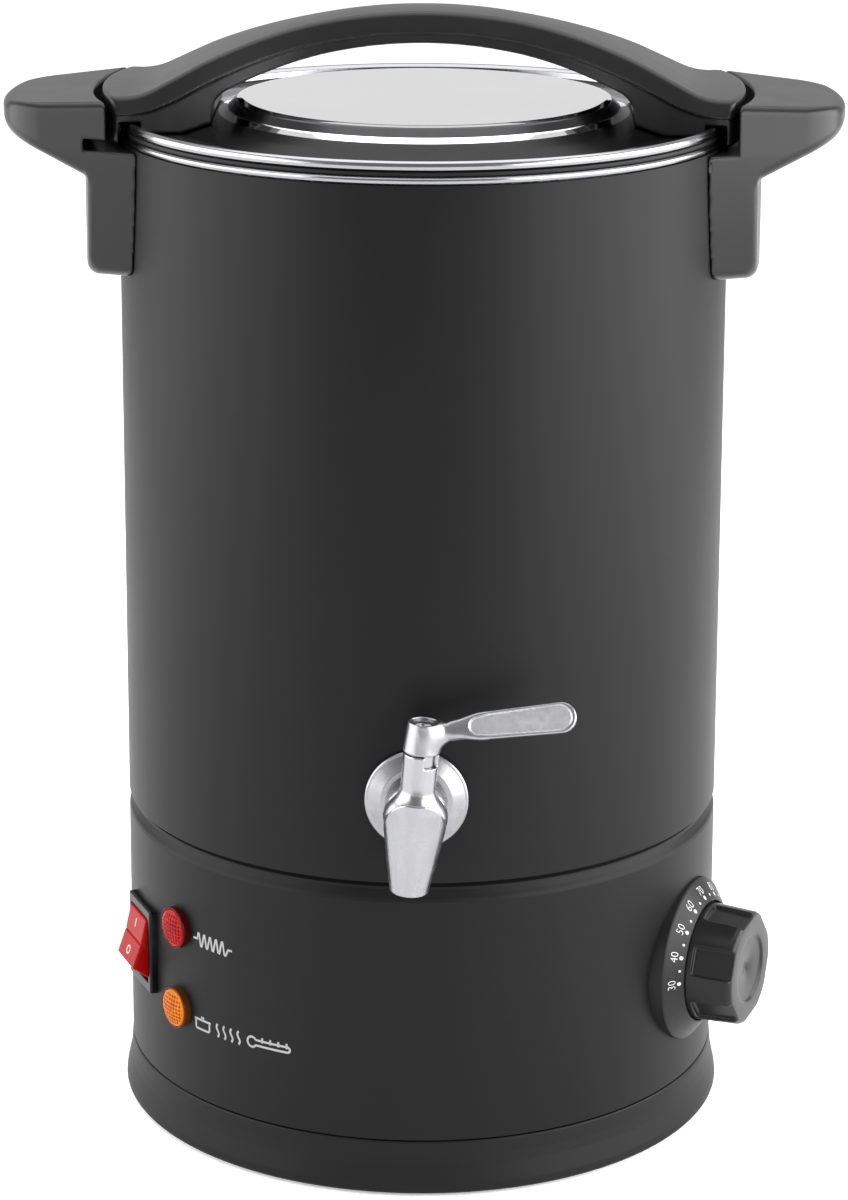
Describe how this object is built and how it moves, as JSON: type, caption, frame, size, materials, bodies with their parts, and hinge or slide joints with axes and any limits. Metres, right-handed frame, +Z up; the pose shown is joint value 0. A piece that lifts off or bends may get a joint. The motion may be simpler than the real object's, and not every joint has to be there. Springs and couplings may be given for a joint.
{
  "type": "candle wax melter",
  "caption": "Countertop wax melting urn: heated double-walled steel pot with a bayonet lid and arched handle, lever tap, thermostat dial, lit rocker switch and two signal lamps.",
  "frame": {"origin": "on the pot's axis, on the surface the rubber feet stand on", "axes": "+Z up along the pot's axis, -Y towards the tap at the front, +X towards the dial's side; metres"},
  "size_m": [0.2972, 0.2679, 0.4016],
  "materials": {
    "base_black": "satin moulded black",
    "zinc_steel": "zinc plated",
    "foot_rubber": "matt",
    "screw_steel": "plain",
    "casing_dark": "satin black coated steel",
    "jacket_dark": "satin black coated steel",
    "insulation_felt": "mineral felt",
    "pot_steel": "drawn stainless steel",
    "cast_alloy": "as cast",
    "element_sheath": "heat darkened sheath",
    "ceramic_white": "heat-proof moulding",
    "copper": "drawn copper",
    "shaft_brass": "turned",
    "dial_plate_black": "satin with light printed numbers",
    "knob_black": "satin",
    "switch_black": "semi-gloss",
    "rocker_red": "translucent, lit from behind",
    "lens_red": "translucent prismatic",
    "lens_amber": "translucent prismatic",
    "gland_black": "fine grain",
    "handle_black": "satin moulded black",
    "seal_rubber": "silicone",
    "lid_steel": "mirror polished stainless steel",
    "tap_steel": "bright turned steel"
  },
  "bodies": {
    "urn": {"base_ring": "base_black", "base_plate": "zinc_steel", "rubber_feet": "foot_rubber", "base_screws": "screw_steel", "lower_casing": "casing_dark", "joint_collar": "casing_dark", "heat_shield": "zinc_steel", "centre_stud": "screw_steel", "stud_nut": "screw_steel", "outer_jacket": "jacket_dark", "insulation_blanket": "insulation_felt", "inner_pot": "pot_steel", "pot_floor": "pot_steel", "pot_rim": "pot_steel", "heater_plate": "cast_alloy", "heating_element": "element_sheath", "thermal_cutout": "ceramic_white", "sensor_bulb": "copper", "capillary_tube": "copper", "thermostat_body": "ceramic_white", "dial_bezel": "dial_plate_black", "switch_housing": "switch_black", "rocker_pin": "screw_steel", "heat_lamp_lens": "lens_red", "warm_lamp_lens": "lens_amber", "lamp_bodies": "switch_black", "terminal_block": "ceramic_white", "cord_gland": "gland_black", "gland_nut": "gland_black", "side_handle_left": "handle_black", "side_handle_right": "handle_black", "handle_screws": "screw_steel", "tap_flange": "tap_steel", "tap_gaskets": "seal_rubber", "tap_body": "tap_steel", "tap_nut": "screw_steel"},
    "seal_ring": {"lid_seal": "seal_rubber"},
    "lid": {"lid_plate": "lid_steel", "lid_collar": "lid_steel", "lid_handle": "handle_black", "lid_screws": "screw_steel"},
    "dial": {"dial_knob": "knob_black", "thermostat_shaft": "shaft_brass"},
    "rocker": {"switch_rocker": "rocker_red"},
    "tap_valve": {"tap_lever": "tap_steel", "tap_stem": "screw_steel", "tap_screw": "screw_steel"}
  },
  "joints": [
    {"name": "lid_turn", "type": "hinge", "parent": "urn", "child": "seal_ring", "pos_m": [0, 0, 0.3611], "axis": [0, 0, 1], "range_deg": [0, 30]},
    {"name": "lid_lift", "type": "slide", "parent": "seal_ring", "child": "lid", "axis": [0, 0, 1], "range_m": [0, 0.15]},
    {"name": "dial_turn", "type": "hinge", "parent": "urn", "child": "dial", "pos_m": [0.09986, -0.04614, 0.0634], "axis": [0.9078, -0.4195, 0], "range_deg": [-205, 0]},
    {"name": "rocker_press", "type": "hinge", "parent": "urn", "child": "rocker", "pos_m": [-0.09541, -0.04011, 0.0662], "axis": [0.3875, -0.9219, 0], "range_deg": [0, 33]},
    {"name": "tap_turn", "type": "hinge", "parent": "urn", "child": "tap_valve", "pos_m": [0, -0.122, 0.146], "axis": [0.0819, 0, 0.9966], "range_deg": [-90, 0]}
  ]
}
